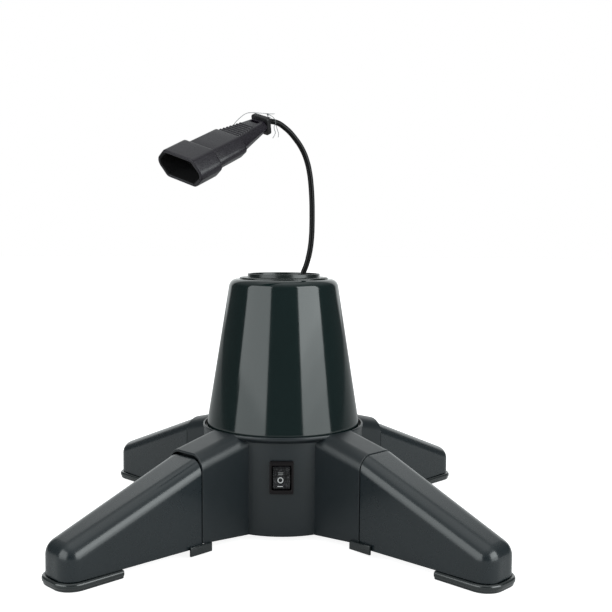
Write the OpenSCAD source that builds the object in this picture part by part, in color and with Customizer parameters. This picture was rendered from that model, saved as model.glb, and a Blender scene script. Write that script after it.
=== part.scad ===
// Rotating stand for an artificial tree: a motor-driven cone with a pole
// socket turns on a ball race above a hub with four pull-out legs.
// Millimetres. +Z is up, the floor is z = 0, the turning axis is the Z axis.
// The switch faces -Y and the legs lie on the diagonals.

/* [Cone] */
// Outer radius of the cone at its bottom edge
cone_r0 = 52; // [50:0.5:52.6]
// Outer radius of the cone just under the shoulder
cone_r1 = 38.3; // [36.5:0.1:39]
// Radius of the rounded shoulder
shoulder_r = 5.5; // [4:0.5:6]
// Wall of the cone
cone_wall = 2.5; // [2:0.1:2.8]

/* [Pole socket] */
// Radius of the bore that takes the tree's pole
bore_r = 16; // [15:0.25:16.2]
// Radius of the flange that lies on the cone's shoulder
flange_r = 30; // [28:0.5:31]
// Outer radius of the upright collar
collar_r = 24.5; // [24:0.1:25]

/* [Hub] */
// Outer radius of the hub drum
hub_r = 50; // [49.5:0.1:50.5]
// Wall of the hub and of the arms
hub_wall = 2.5; // [2.2:0.1:2.7]
// Outer radius of the rim round the cone's foot
rim_r = 54.8; // [54.6:0.1:56]

/* [Arms and legs] */
// Half the width of an arm
arm_hw = 17; // [16.9:0.1:17.2]
// Distance from the axis to the end of an arm
arm_s = 84.7; // [84:0.1:84.7]
// Height of the arm's top at its outer end
arm_top = 61.8; // [61:0.1:62.2]
// Half the width of a leg at its nose
leg_hw = 14.6; // [14:0.1:15]
// Distance from the axis to the nose of a leg
leg_s = 178.2; // [176:0.1:178.4]
// Wall of a leg
leg_wall = 2.3; // [2:0.1:2.6]
// How much lower two of the legs sit in their arms
seat_drop = 2.8; // [0:0.1:3.2]
// How much higher the nose of the rear left leg stands
nose_rise = 3.5; // [0:0.5:4]

/* [Drive] */
// Teeth on the gear of the spindle
gear_teeth = 48; // [48]
// Teeth on the gear of the motor
pinion_teeth = 12; // [12]
// Size of the teeth, pitch diameter over number of teeth
gear_m = 1; // [1]
// Radius of the circle that the balls run on
ball_circle_r = 34; // [34]
// Number of balls
ball_count = 12; // [8:1:16]

/* [Switch] */
// Half the width of the switch's frame
bezel_hw = 7.7; // [7.3:0.1:8]
// Half the height of the switch's frame
bezel_hh = 10.6; // [10.3:0.1:11]
// Height of the switch's middle above the floor
switch_z = 43; // [42.8:0.1:43.2]

/* [Lead] */
// Radius of the lead that feeds the tree's lights
lead_r = 1.8; // [1.7:0.05:1.8]

/* [Hidden] */

plastic = [0.10, 0.13, 0.125];
black = [0.06, 0.06, 0.065];
steel = [0.72, 0.73, 0.75];
brass = [0.80, 0.62, 0.28];
white = [0.86, 0.86, 0.83];

// heights
hub_z = 4;            // underside of the hub
deck_z = 64;          // underside of the deck
deck_t = 66.5;        // top of the deck
race_t = 68.5;        // top of the lower race
ball_z = 70.4;        // middle of the balls
ball_r = 2.5;
up_race_z = 72.3;     // underside of the upper race
table_z = 74.3;       // underside of the turntable
table_t = 76.8;       // top of the turntable
floor_t = 82.3;       // floor of the pole bore
recess_z = 166;       // floor of the collar's recess
shoulder_z = 167.4;   // top of the cone's shoulder
flange_t = 168.5;     // top of the flange
collar_t = 171;       // top of the collar
cone_z = 68;          // bottom edge of the cone
tube_r = 17.8;        // outside of the pole tube
motor_x = 0;
motor_y = 17;         // middle of the motor
motor_t = 27;         // top of the motor
shaft_y = 30;         // the motor's shaft
angles = [225, 315, 135, 45];   // front left, front right, rear left, rear right

// where the lead leaves, a grommet in the collar
lead_x = 12.5;
lead_y = -16.8;

// ---------- hub ----------
module arm_section() {
  r = 10;
  translate([-arm_hw, -90]) square([2*arm_hw, 90 - r]);
  translate([-(arm_hw - r), -90]) square([2*(arm_hw - r), 90]);
  for (s = [-1, 1]) translate([s*(arm_hw - r), -r]) circle(r = r, $fn = 64);
}
module arm_outer() {
  intersection() {
    translate([arm_s, 0, arm_top]) rotate([0, 14, 0]) translate([-62, 0, 0])
      rotate([90, 0, 90]) linear_extrude(80) arm_section();
    rotate([90, 0, 0]) translate([0, 0, -arm_hw])
      linear_extrude(2*arm_hw)
        polygon([[40, hub_z], [46, hub_z], [arm_s, 7], [arm_s, 80], [40, 80]]);
  }
}
module arm_cavity() translate([52.6, -14.7, -1]) cube([40, 29.4, 57.3]);

boss_xy = [[34, 24], [-34, 24], [34, -24], [-34, -24]];
module drum_outside() {
  rotate_extrude($fn = 184) polygon([[0, hub_z],
    [hub_r, hub_z], [hub_r, 64.3], [rim_r - 0.4, 66.9], [rim_r, 67.3], [rim_r, 68.5],
    [rim_r - 0.3, 69], [rim_r - 0.8, 69.3], [rim_r - 1.2, 69.1], [rim_r - 1.4, 68.7],
    [rim_r - 1.4, deck_t], [0, deck_t]]);
  // thicker wall under the rim, except on the front between the arms
  difference() {
    rotate_extrude($fn = 184) polygon([[hub_r - 1, 55.6], [hub_r, 55.6],
      [rim_r - 0.6, 57.4], [rim_r - 0.6, 66.8], [hub_r - 1, 66.5]]);
    translate([0, 0, 50]) linear_extrude(30) polygon([[0, 0], [-90, -90], [90, -90]]);
  }
}
// an arm from the drum's wall outward; one moulding with the drum
module arm() difference() {
  arm_outer();
  drum_outside();
  translate([0, 0, 66]) cylinder(r = rim_r, h = 30, $fn = 184);
  arm_cavity();
}
module hub_housing() color(plastic) difference() {
  union() {
    difference() {
      union() {
        drum_outside();
        translate([-7.2, -50.35, 32.8]) cube([14.4, 6, 20.4]);
      }
      translate([0, 0, 0]) cylinder(r = hub_r - hub_wall, h = deck_z, $fn = 184);
    }
    // columns for the floor plate and for the motor
    for (p = boss_xy) translate([p[0], p[1], 7]) cylinder(r = 3.6, h = 58, $fn = 40);
    for (s = [-1, 1]) translate([s*30, motor_y, motor_t]) cylinder(r = 3.4, h = 38, $fn = 40);
    // collar for the bush and pads for the brush holder
    translate([0, 0, 58]) cylinder(r = 11, h = 7, $fn = 64);
    for (s = [-1, 1]) translate([s*7, 27, 58]) cylinder(r = 2.6, h = 7, $fn = 32);
    // flat behind the switch frame
    translate([-8.6, -49, 31.6]) cube([17.2, 3.3, 22.8]);
    // seat for the gland
    translate([0, 49.4, 16]) rotate([90, 0, 0]) cylinder(r = 7.5, h = 4, $fn = 48);
  }
  translate([0, 0, 50]) cylinder(r = 8, h = 30, $fn = 64);
  for (p = boss_xy) translate([p[0], p[1], 6]) cylinder(r = 1.3, h = 14, $fn = 24);
  for (s = [-1, 1]) {
    translate([s*30, motor_y, motor_t - 1]) cylinder(r = 1.3, h = 12, $fn = 24);
    translate([s*7, 27, 57]) cylinder(r = 0.9, h = 8, $fn = 24);
  }
  translate([-6.95, -60, switch_z - 9.6]) cube([13.9, 20, 19.2]);
  translate([0, 60, 16]) rotate([90, 0, 0]) cylinder(r = 5, h = 20, $fn = 48);
  translate([0, 60, 16]) rotate([90, 0, 0]) cylinder(r = 7.2, h = 10.5, $fn = 48);
}
module arm_front_left() color(plastic) rotate(angles[0]) arm();
module arm_front_right() color(plastic) rotate(angles[1]) arm();
module arm_rear_left() color(plastic) rotate(angles[2]) arm();
module arm_rear_right() color(plastic) rotate(angles[3]) arm();
module base_plate() color(plastic) difference() {
  union() {
    translate([0, 0, 4.5]) cylinder(r = hub_r - hub_wall - 0.2, h = 2.5, $fn = 128);
    // ring that keeps the motor in its place
    translate([0, motor_y, 6.9]) difference() {
      cylinder(r = 26.9, h = 3.1, $fn = 96);
      translate([0, 0, 0.1]) cylinder(r = 25.3, h = 5, $fn = 96);
    }
  }
  for (p = boss_xy) translate([p[0], p[1], 0]) {
    cylinder(r = 1.7, h = 20, $fn = 24);
    cylinder(r = 3.3, h = 5.6, $fn = 32);
  }
  for (i = [-3:3]) translate([-9, i*5 - 1, 0]) cube([18, 2, 20]);
}
module screw(head_r, head_h, r, l) {
  // the head's underside is z = 0 and the shank goes up
  translate([0, 0, -head_h]) difference() {
    cylinder(r = head_r, h = head_h, $fn = 36);
    for (a = [0, 90]) rotate(a) translate([-head_r*0.6, -0.35, -1])
      cube([head_r*1.2, 0.7, 1 + head_h*0.55]);
  }
  translate([0, 0, -0.02]) cylinder(r = r, h = l, $fn = 24);
}
module base_screws() color(steel)
  for (p = boss_xy) translate([p[0], p[1], 5.6]) screw(3, 1.1, 1.25, 14);

// ---------- motor and gears ----------
module gear_motor() color(steel) difference() {
  union() {
    translate([motor_x, motor_y, 9.2]) cylinder(r = 25, h = motor_t - 9.2 - 1.2, $fn = 96);
    translate([motor_x, motor_y, motor_t - 1.3]) {
      cylinder(r = 24.6, h = 1.2, $fn = 96);
      for (s = [-1, 1]) translate([s*30, 0, 0]) cylinder(r = 4, h = 1.2, $fn = 40);
      translate([-30, -4, 0]) cube([60, 8, 1.2]);
    }
    translate([0, shaft_y, motor_t - 0.5]) cylinder(r = 5.5, h = 1.7, $fn = 48);
  }
  for (s = [-1, 1]) translate([s*30, motor_y, 20]) cylinder(r = 1.7, h = 20, $fn = 24);
  translate([0, shaft_y, 16]) cylinder(r = 3.03, h = 30, $fn = 48);
}
module motor_screws() color(steel)
  for (s = [-1, 1]) translate([s*30, motor_y, motor_t - 1.35]) screw(2.9, 1.8, 1.25, 10);

module motor_shaft() color(steel)
  translate([0, shaft_y, 16.3]) cylinder(r = 3, h = 20.2, $fn = 48);

// outline of a gear with involute flanks; a tooth points along +X
function inv_pt(rb, t) = [rb*(cos(t) + t*PI/180*sin(t)), rb*(sin(t) - t*PI/180*cos(t))];
function roll_at(rb, r) = r <= rb ? 0 : sqrt((r*r)/(rb*rb) - 1)*180/PI;
function flank(m, z, play, k) =
  let (rp = m*z/2, rb = rp*cos(20), ro = rp + 0.9*m,
       rs = max(rb, rp - 1.2*m), t = roll_at(rb, rs + (ro - rs)*k/5),
       p = inv_pt(rb, t), tp = roll_at(rb, rp), q = inv_pt(rb, tp),
       half = 90/z - play/rp*90/PI)
  [norm(p), atan2(q[1], q[0]) + half - atan2(p[1], p[0])];
function tooth(m, z, play, a) =
  let (rr = m*z/2 - 1.25*m, f0 = flank(m, z, play, 0))
  concat([[rr*cos(a - f0[1] - 1), rr*sin(a - f0[1] - 1)]],
    [for (k = [0:5]) let (f = flank(m, z, play, k)) [f[0]*cos(a - f[1]), f[0]*sin(a - f[1])]],
    [for (k = [5:-1:0]) let (f = flank(m, z, play, k)) [f[0]*cos(a + f[1]), f[0]*sin(a + f[1])]],
    [[rr*cos(a + f0[1] + 1), rr*sin(a + f0[1] + 1)]]);
module gear_outline(m, z, play, a0)
  polygon([for (i = [0:z - 1]) each tooth(m, z, play, a0 + i*360/z)]);

module motor_pinion() color(white) translate([0, shaft_y, 0]) difference() {
  union() {
    translate([0, 0, 29.2]) linear_extrude(7)
      gear_outline(gear_m, pinion_teeth, 0.22, -90 + 180/pinion_teeth);
  }
  translate([0, 0, 20]) cylinder(r = 3, h = 30, $fn = 48);
}
module drive_gear() color(white) difference() {
  union() {
    translate([0, 0, 29.7]) linear_extrude(6)
      gear_outline(gear_m, gear_teeth, 0.22, 90);
    translate([0, 0, 28.9]) cylinder(r = 9, h = 8, $fn = 64);
  }
  translate([0, 0, 20]) cylinder(r = 5, h = 30, $fn = 48);
  for (i = [0:5]) rotate(i*60) translate([16, 0, 20]) cylinder(r = 3.6, h = 30, $fn = 40);
}

// ---------- spindle and bearing ----------
module spindle() color(steel) difference() {
  union() {
    translate([0, 0, 28.6]) cylinder(r = 5, h = table_t - 28.6, $fn = 48);
    translate([0, 0, up_race_z]) cylinder(r = 12, h = table_z - up_race_z, $fn = 64);
  }
  translate([0, 0, 20]) cylinder(r = 3, h = 70, $fn = 48);
  translate([0, 0, 56.2]) difference() {
    cylinder(r = 9, h = 1, $fn = 48);
    translate([0, 0, -1]) cylinder(r = 4.3, h = 3, $fn = 48);
  }
}
module spindle_clip() color(steel) translate([0, 0, 56.3]) difference() {
  cylinder(r = 8, h = 0.8, $fn = 64);
  translate([0, 0, -1]) cylinder(r = 4.35, h = 3, $fn = 48);
  translate([-4.2, 0, -1]) cube([8.4, 20, 3]);
}
module deck_bush() color(brass) difference() {
  union() {
    translate([0, 0, 58.2]) cylinder(r = 8, h = 9, $fn = 64);
    translate([0, 0, deck_t]) cylinder(r = 13, h = 1.4, $fn = 64);
  }
  translate([0, 0, 50]) cylinder(r = 5.05, h = 30, $fn = 48);
}
module race_groove() rotate_extrude($fn = 128)
  translate([ball_circle_r, 0]) circle(r = 2.8, $fn = 48);
module lower_race() color(steel) difference() {
  translate([0, 0, deck_t]) difference() {
    cylinder(r = ball_circle_r + 3.6, h = race_t - deck_t, $fn = 128);
    translate([0, 0, -1]) cylinder(r = ball_circle_r - 3.6, h = 5, $fn = 128);
  }
  translate([0, 0, ball_z]) race_groove();
}
module upper_race() color(steel) difference() {
  translate([0, 0, up_race_z]) difference() {
    cylinder(r = ball_circle_r + 3.6, h = table_z - up_race_z, $fn = 128);
    translate([0, 0, -1]) cylinder(r = ball_circle_r - 3.6, h = 5, $fn = 128);
  }
  translate([0, 0, ball_z]) race_groove();
}
module bearing_cage() color(brass) translate([0, 0, ball_z - 0.6]) difference() {
  cylinder(r = ball_circle_r + 3.4, h = 1.2, $fn = 128);
  translate([0, 0, -1]) cylinder(r = ball_circle_r - 3.4, h = 4, $fn = 128);
  for (i = [0:ball_count - 1]) rotate(i*360/ball_count + 10)
    translate([ball_circle_r, 0, -1]) cylinder(r = 2.55, h = 4, $fn = 32);
}
module bearing_balls() color(steel) for (i = [0:ball_count - 1])
  rotate(i*360/ball_count + 10) translate([ball_circle_r, 0, ball_z]) sphere(r = ball_r, $fn = 32);

module turntable() color(plastic) difference() {
  translate([0, 0, table_z]) cylinder(r = 47, h = table_t - table_z, $fn = 128);
  translate([0, 0, 60]) cylinder(r = 5, h = 30, $fn = 48);
  for (i = [0:3]) rotate(45 + i*90) translate([43.2, 0, 60]) cylinder(r = 1.7, h = 30, $fn = 24);
  for (i = [0:2]) rotate(30 + i*120) translate([15.5, 0, 60]) cylinder(r = 1.7, h = 30, $fn = 24);
}
module turntable_screws() color(steel)
  for (i = [0:3]) rotate(45 + i*90) translate([43.2, 0, table_z]) screw(2.9, 1.8, 1.25, 12);
module socket_screws() color(steel)
  for (i = [0:2]) rotate(30 + i*120) translate([15.5, 0, table_z]) screw(2.6, 1.6, 1.25, 6.5);

// ---------- slip rings and brushes ----------
module slip_ring_drum() color(black) difference() {
  translate([0, 0, 38]) union() {
    cylinder(r = 10, h = 17, $fn = 64);
    for (z = [0, 7.5, 15]) translate([0, 0, z]) cylinder(r = 12.6, h = 2, $fn = 64);
  }
  translate([0, 0, 30]) cylinder(r = 5, h = 40, $fn = 48);
}
module slip_rings() color(brass) for (z = [41.2, 48.7]) translate([0, 0, z]) difference() {
  cylinder(r = 12, h = 3.6, $fn = 64);
  translate([0, 0, -1]) cylinder(r = 10, h = 6, $fn = 64);
}
module brush_holder() color(black) difference() {
  union() {
    translate([-4, 15, 38.6]) cube([8, 17, 17.2]);
    translate([-9.6, 23.4, 55.6]) cube([19.2, 7.2, 2.4]);
  }
  for (z = [43, 50.5]) {
    translate([-1.6, 10, z - 1.3]) cube([3.2, 14.6, 2.6]);
    translate([0, 34, z]) rotate([90, 0, 0]) translate([0, 0, 3.4]) cylinder(r = 1.9, h = 10, $fn = 32);
  }
  for (s = [-1, 1]) translate([s*7, 27, 50]) cylinder(r = 1.1, h = 20, $fn = 24);
}
module carbon_brushes() color([0.2, 0.2, 0.2]) for (z = [43, 50.5])
  translate([-1.5, 12.3, z - 1.2]) cube([3, 10.2, 2.4]);
module brush_screws() color(steel)
  for (s = [-1, 1]) translate([s*7, 27, 55.6]) screw(1.9, 1.3, 0.85, 8);

// a coil spring swept along its own wire, n turns of radius rc from z = 0 to h
function coil_ring(rc, rw, h, n, i, steps) =
  let (a = i*360*n/steps, z = rw + (h - 2*rw)*i/steps)
  [for (k = [0:5]) let (b = k*60) [(rc + rw*cos(b))*cos(a), (rc + rw*cos(b))*sin(a), z + rw*sin(b)]];
module coil(rc, rw, h, n, per) {
  steps = n*per;
  pts = [for (i = [0:steps]) each coil_ring(rc, rw, h, n, i, steps)];
  faces = concat([[for (k = [0:5]) k]], [[for (k = [5:-1:0]) steps*6 + k]],
    [for (i = [0:steps - 1]) for (k = [0:5])
      [i*6 + k, (i + 1)*6 + k, (i + 1)*6 + (k + 1)%6, i*6 + (k + 1)%6]]);
  polyhedron(points = pts, faces = faces, convexity = 10);
}
module brush_springs() color(steel) for (z = [43, 50.5])
  translate([0, 30.4, z]) rotate([90, 0, 0]) coil(1.35, 0.28, 7.7, 5, 10);

// ---------- switch ----------
// pivot of the rocker
pivot_y = -49.6;
module switch_body() color(black) difference() {
  union() {
    translate([-bezel_hw, -52.2, switch_z - bezel_hh]) cube([2*bezel_hw, 1.8, 2*bezel_hh]);
    translate([-6.9, -50.5, switch_z - 9.5]) cube([13.8, 20.5, 19]);
  }
  translate([-6.1, -60, switch_z - 7.8]) cube([12.2, 17, 15.6]);
  translate([-20, pivot_y, switch_z]) rotate([0, 90, 0]) cylinder(r = 1.25, h = 40, $fn = 32);
  for (z = [-6, 0, 6]) translate([-2.45, -45, switch_z + z - 0.45]) cube([4.9, 20, 0.9]);
}
// its ends are round about the pivot, so that it tilts inside the frame
module rocker_outline() intersection() {
  circle(r = 7.5, $fn = 96);
  polygon([[-4.6, -9], [-4.1, -6.6], [-3.6, -3.4], [-3.4, 0], [-3.6, 3.4], [-4.1, 6.6],
    [-4.6, 9], [-1, 9], [1.2, 5], [3, 1.6], [3, -1.6], [1.2, -5], [-1, -9]]);
}
module switch_rocker() color(black) translate([0, pivot_y, switch_z]) union() {
  rotate([90, 0, 90]) translate([0, 0, -5.4]) linear_extrude(10.8) rocker_outline();
  translate([-6.7, 0, 0]) rotate([0, 90, 0]) cylinder(r = 1.2, h = 13.4, $fn = 32);
}
module switch_terminals() color(brass) for (z = [-6, 0, 6])
  translate([-2.4, -40, switch_z + z - 0.4]) difference() {
    cube([4.8, 18, 0.8]);
    translate([2.4, 14.6, -1]) cylinder(r = 0.8, h = 3, $fn = 24);
  }
module mains_gland() color(black) difference() {
  union() {
    translate([0, 54.5, 16]) rotate([90, 0, 0]) cylinder(r = 4.95, h = 10.2, $fn = 48);
    translate([0, 52.5, 16]) rotate([90, 0, 0]) cylinder(r = 6.8, h = 3, $fn = 48);
    translate([0, 58.5, 16]) rotate([90, 0, 0]) cylinder(r = 4.2, h = 5, $fn = 48);
    translate([0, 45.3, 16]) rotate([90, 0, 0]) cylinder(r = 5.8, h = 1.2, $fn = 48);
  }
  translate([0, 70, 16]) rotate([90, 0, 0]) cylinder(r = 2.7, h = 40, $fn = 48);
}

// ---------- cone and pole socket ----------
cone_k = (cone_r0 - cone_r1)/(155 - 69);      // how much it narrows per mm
function cone_at(z) = cone_r0 - (z - 69)*cone_k;
// the shoulder: points of the arc from the slanted wall round to level
function shoulder(r, d) = [for (i = [0:8]) let (a = 9 + i*81/8)
  [cone_at(162) - shoulder_r + (r)*cos(a) - d, shoulder_z - shoulder_r + r*sin(a)]];
module cone_outline(d) polygon(concat(
  [[0, cone_z], [cone_at(cone_z) - d, cone_z], [cone_at(161.9) - d, 161.9 - d/3]],
  shoulder(shoulder_r - d, 0),
  [[0, shoulder_z - d]]));
module rotor_cone() color(plastic) difference() {
  union() {
    difference() {
      rotate_extrude($fn = 184) cone_outline(0);
      translate([0, 0, -0.01]) rotate_extrude($fn = 184) difference() {
        cone_outline(cone_wall);
        translate([-1, 0]) square([0.99, 300]);
      }
    }
    // posts for the turntable's screws, run into the wall
    intersection() {
      rotate_extrude($fn = 184) cone_outline(1);
      for (i = [0:3]) rotate(45 + i*90) {
        translate([43.2, 0, table_t]) cylinder(r = 3.6, h = 20, $fn = 40);
        translate([43.2, -1.2, table_t]) cube([8, 2.4, 20]);
      }
    }
  }
  translate([0, 0, 150]) cylinder(r = 24.6, h = 30, $fn = 128);
  for (i = [0:3]) rotate(45 + i*90) translate([43.2, 0, 70]) cylinder(r = 1.3, h = 19.5, $fn = 24);
}
module grommet_shape(d) {
  translate([lead_x, lead_y, 0]) cylinder(r = 3.2 + d, h = 60, $fn = 48);
}
module pole_socket() color(plastic) difference() {
  union() {
    translate([0, 0, 79.8]) cylinder(r = tube_r, h = 88, $fn = 96);
    translate([0, 0, 163.4]) cylinder(r = collar_r, h = collar_t - 163.4, $fn = 128);
    translate([0, 0, shoulder_z]) cylinder(r = flange_r, h = flange_t - shoulder_z, $fn = 128);
    // foot ring with the lead's way out
    translate([0, 0, table_t]) cylinder(r = tube_r + 2, h = 3.2, $fn = 96);
  }
  translate([0, 0, floor_t]) cylinder(r = bore_r, h = 120, $fn = 96);
  translate([0, 0, recess_z]) cylinder(r = collar_r - 1.3, h = 20, $fn = 128);
  // room under the floor for the lead
  translate([0, 0, table_t - 1]) cylinder(r = 11.5, h = 4.4, $fn = 64);
  rotate(-53.4) translate([0, -2.2, table_t - 1]) cube([30, 4.4, 5]);
  for (i = [0:2]) rotate(30 + i*120) translate([15.5, 0, 70]) cylinder(r = 1.3, h = 11, $fn = 24);
  translate([0, 0, 150]) grommet_shape(0.05);
}
module lead_grommet() color(black) difference() {
  union() {
    translate([lead_x, lead_y, 162.4]) cylinder(r = 3.2, h = 8.4, $fn = 48);
    translate([lead_x, lead_y, 162.4]) cylinder(r = 3.5, h = 0.9, $fn = 48);
  }
  translate([lead_x, lead_y, 150]) cylinder(r = 1.85, h = 30, $fn = 40);
  translate([0, 0, 150]) cylinder(r = bore_r + 0.8, h = 40, $fn = 96);
  // its lower rim ends short of the pole tube
  translate([0, 0, 150]) cylinder(r = tube_r + 0.1, h = 13.3, $fn = 96);
}

// ---------- lead ----------
// a tube of 8 sides through a list of points
function unit(v) = v/norm(v);
function side_of(t) = unit(cross(t, abs(t[1]) < 0.9 ? [0, 1, 0] : [1, 0, 0]));
function tangent(p, i) = let (n = len(p) - 1)
  i == 0 ? unit(p[1] - p[0]) : i == n ? unit(p[n] - p[n - 1]) : unit(p[i + 1] - p[i - 1]);
// each ring's first direction is carried on from the ring before it
function frames(p, i, s) = let (t = tangent(p, i), q = unit(s - (s*t)*t))
  i == len(p) - 1 ? [q] : concat([q], frames(p, i + 1, q));
module tube(p, r) {
  n = 8;
  f = frames(p, 0, side_of(tangent(p, 0)));
  pts = [for (i = [0:len(p) - 1]) let (t = tangent(p, i), u = f[i], v = cross(t, u))
    for (k = [0:n - 1]) p[i] + r*cos(k*360/n)*u + r*sin(k*360/n)*v];
  faces = concat([[for (k = [n - 1:-1:0]) k]],
    [[for (k = [0:n - 1]) (len(p) - 1)*n + k]],
    [for (i = [0:len(p) - 2]) for (k = [0:n - 1])
      [i*n + k, i*n + (k + 1)%n, (i + 1)*n + (k + 1)%n, (i + 1)*n + k]]);
  polyhedron(points = pts, faces = [for (g = faces) [for (j = [len(g) - 1:-1:0]) g[j]]], convexity = 6);
}
lead_route = [[12.5, -16.8, 162.5], [12.5, -16.8, 168], [13.2, -16.8, 172], [14.9, -16.8, 176.5],
  [16.6, -16.8, 182.5], [17.9, -16.8, 189.5], [18.6, -16.8, 197], [18.8, -16.8, 204],
  [18.8, -16.8, 211], [18.7, -16.8, 217.5], [18.4, -16.8, 224], [17.9, -16.9, 230.5],
  [17, -17, 237.5], [15.3, -17.2, 245], [12.3, -17.7, 252.5], [7.6, -18.6, 259.6],
  [1.4, -20.8, 266], [-5.6, -25.4, 269.6], [-12.4, -31.1, 268.5], [-15.3, -33.9, 266.6],
  [-20.5, -38.8, 263.2], [-25.7, -43.9, 259.8]];
module lead_cord() color(black) tube(lead_route, lead_r);
inner_route = [[0, 0, 70], [0, 0, 74], [0.4, -0.5, 76.6], [1.6, -2.1, 78.3], [4, -5.4, 79],
  [8, -10.8, 79], [11, -14.8, 79.1], [12.6, -16.9, 80.2], [13.1, -17.5, 82.5], [13.2, -17.6, 86],
  [13.2, -17.6, 94], [13.2, -17.6, 104], [13.2, -17.6, 114], [13.2, -17.6, 124], [13.2, -17.6, 134],
  [13.2, -17.6, 144], [13, -17.4, 152], [12.6, -16.9, 157], [12.5, -16.8, 162.5]];
module inner_lead() color(black) tube(inner_route, lead_r);

// ---------- connector ----------
// its own frame: +X from the mouth to the lead, +Z the thin way
module at_connector() translate([-60.9, -77, 235.7]) rotate([19.4, -25.2, 43.8]) children();
// corner p of an outline between its neighbours a and b, rounded to radius r
function corner(a, p, b, r) = let (u = unit(a - p), v = unit(b - p), h = acos(u*v)/2,
  c = p + unit(u + v)*r/sin(h), s = p + u*r/tan(h) - c, e = p + v*r/tan(h) - c,
  a0 = atan2(s[1], s[0]), d = (atan2(e[1], e[0]) - a0 + 540)%360 - 180)
  [for (k = [0:3]) c + r*[cos(a0 + d*k/3), sin(a0 + d*k/3)]];
// six-sided outline: tips at w, flats from -f to f, half as thick as t; rt and rc round it
module hexa(w, f, t, rt, rc) {
  p = [[w, 0], [f, t], [-f, t], [-w, 0], [-f, -t], [f, -t]];
  polygon([for (i = [0:5]) each corner(p[(i + 5)%6], p[i], p[(i + 1)%6], i%3 == 0 ? rt : rc)]);
}
module hexa_bar(x0, x1, w, f, t, rt, rc) translate([x0, 0, 0]) rotate([90, 0, 90])
  linear_extrude(x1 - x0) hexa(w, f, t, rt, rc);
module connector_shell() color(black) at_connector() difference() {
  union() {
    translate([0, 0, -0.15]) hexa_bar(0, 17.6, 20.8, 12.3, 9, 4.6, 3.8);
    hexa_bar(17.5, 42, 17.4, 10.1, 7.2, 3.2, 2.6);
  }
  translate([0, 0, -0.15]) hexa_bar(-1, 16.2, 17.9, 10.6, 6.9, 2.6, 2);
  for (s = [-1, 1]) translate([15, s*9.3, 0]) rotate([0, 90, 0]) cylinder(r = 2.4, h = 21, $fn = 32);
}
module connector_contacts() color(brass) at_connector()
  for (s = [-1, 1]) translate([18, s*9.3, 0]) rotate([0, 90, 0]) difference() {
    cylinder(r = 2.35, h = 17.8, $fn = 32);
    translate([0, 0, -1]) cylinder(r = 2.05, h = 17.5, $fn = 32);
  }
module connector_boot() color(black) at_connector() difference() {
  union() {
    // the tapered core in seven steps
    for (i = [0:6]) {
      q = (i + 0.5)/7;
      translate([0, 0, 1.3*q]) hexa_bar(42 + i*4, 46.1 + i*4,
        13.9 - 7*pow(q, 0.85), 9.3 - 4.7*q, 6.3 - 2.6*pow(q, 0.9), 1.4, 1.4);
    }
    // low ribs across its top
    for (i = [0:6]) let (q = (1.6 + 2.5*i)/28.4, f = 8.6 - 4.7*q)
      translate([43 + 2.5*i, -f, 1.3*q + 3]) cube([1.3, 2*f, 3.6 - 2.6*pow(q, 0.9)]);
    // end flange
    translate([70, 0, 1.3]) rotate([90, 0, 90]) linear_extrude(3.3) polygon(
      [for (i = [0:3]) let (p = [[7, 5.7], [-7, 5.7], [-7, -5.7], [7, -5.7]])
        each corner(p[(i + 3)%4], p[i], p[(i + 1)%4], 1.5)]);
  }
  translate([53, 0, 1.3]) rotate([0, 90, 0]) cylinder(r = 1.9, h = 40, $fn = 32);
}

// ---------- legs ----------
function leg_w(s) = leg_hw + (leg_s - s)*(16.8 - 14.6)/93.3;
// the leg's body, cut short at both ends of the arm later; o shrinks it
module leg_form(o, drop, rise = 0) {
  hull() {
    for (w = [-1, 1]) {
      translate([leg_s - 10, w*(leg_hw - 10), o > 0 ? -2 : 5]) cylinder(r = 10 - o, h = 5, $fn = 32);
      translate([leg_s - 10, w*(leg_hw - 10), 16.3 + rise]) sphere(r = 10 - o, $fn = 32);
      translate([70, w*(leg_w(70) - 9), 57.9 - drop]) sphere(r = 9 - o, $fn = 32);
    }
    translate([70, -(leg_w(70) - o), o > 0 ? -2 : 5]) cube([0.5, 2*(leg_w(70) - o), 50]);
  }
}
module leg(drop, rise = 0) {
  difference() {
    leg_form(0, drop, rise);
    translate([0, -50, -10]) cube([84.9, 100, 120]);
    difference() {
      leg_form(leg_wall, drop, rise);
      translate([0, -50, -10]) cube([84.9 + leg_wall, 100, 120]);
      for (s = [112, 140]) translate([s, -50, 12]) cube([1.8, 100, 80]);
    }
    translate([80, -12, -1]) cube([10, 24, 52.7]);
  }
  // tongue that fills the arm
  difference() {
    translate([60, -14.4, 6.2]) cube([84.9 + leg_wall - 60, 28.8, 49.6]);
    translate([62.4, -12, 0]) cube([40, 24, 53.4]);
  }
}
module foot_shape(d, s0) {
  r = 12.5 - d; s1 = 180.4 - d; w = 16.9 - d;
  translate([s0, -w]) square([s1 - r - s0, 2*w]);
  translate([s0, -(w - r)]) square([s1 - s0, 2*(w - r)]);
  for (k = [-1, 1]) translate([s1 - r, k*(w - r)]) circle(r = r, $fn = 48);
}
module foot() difference() {
  union() {
    linear_extrude(0.7) foot_shape(0.7, 142);
    translate([0, 0, 0.7]) linear_extrude(3.2) foot_shape(0, 142);
    translate([0, 0, 3.9]) linear_extrude(0.6) foot_shape(0.6, 142);
    translate([0, 0, 4.5]) linear_extrude(0.5) foot_shape(1.4, 142);
    // plug inside the leg
    translate([145.5, -11.4, 4]) cube([25, 22.8, 5]);
  }
  translate([147.5, -9.6, 2.4]) cube([21, 19.2, 20]);
}
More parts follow.
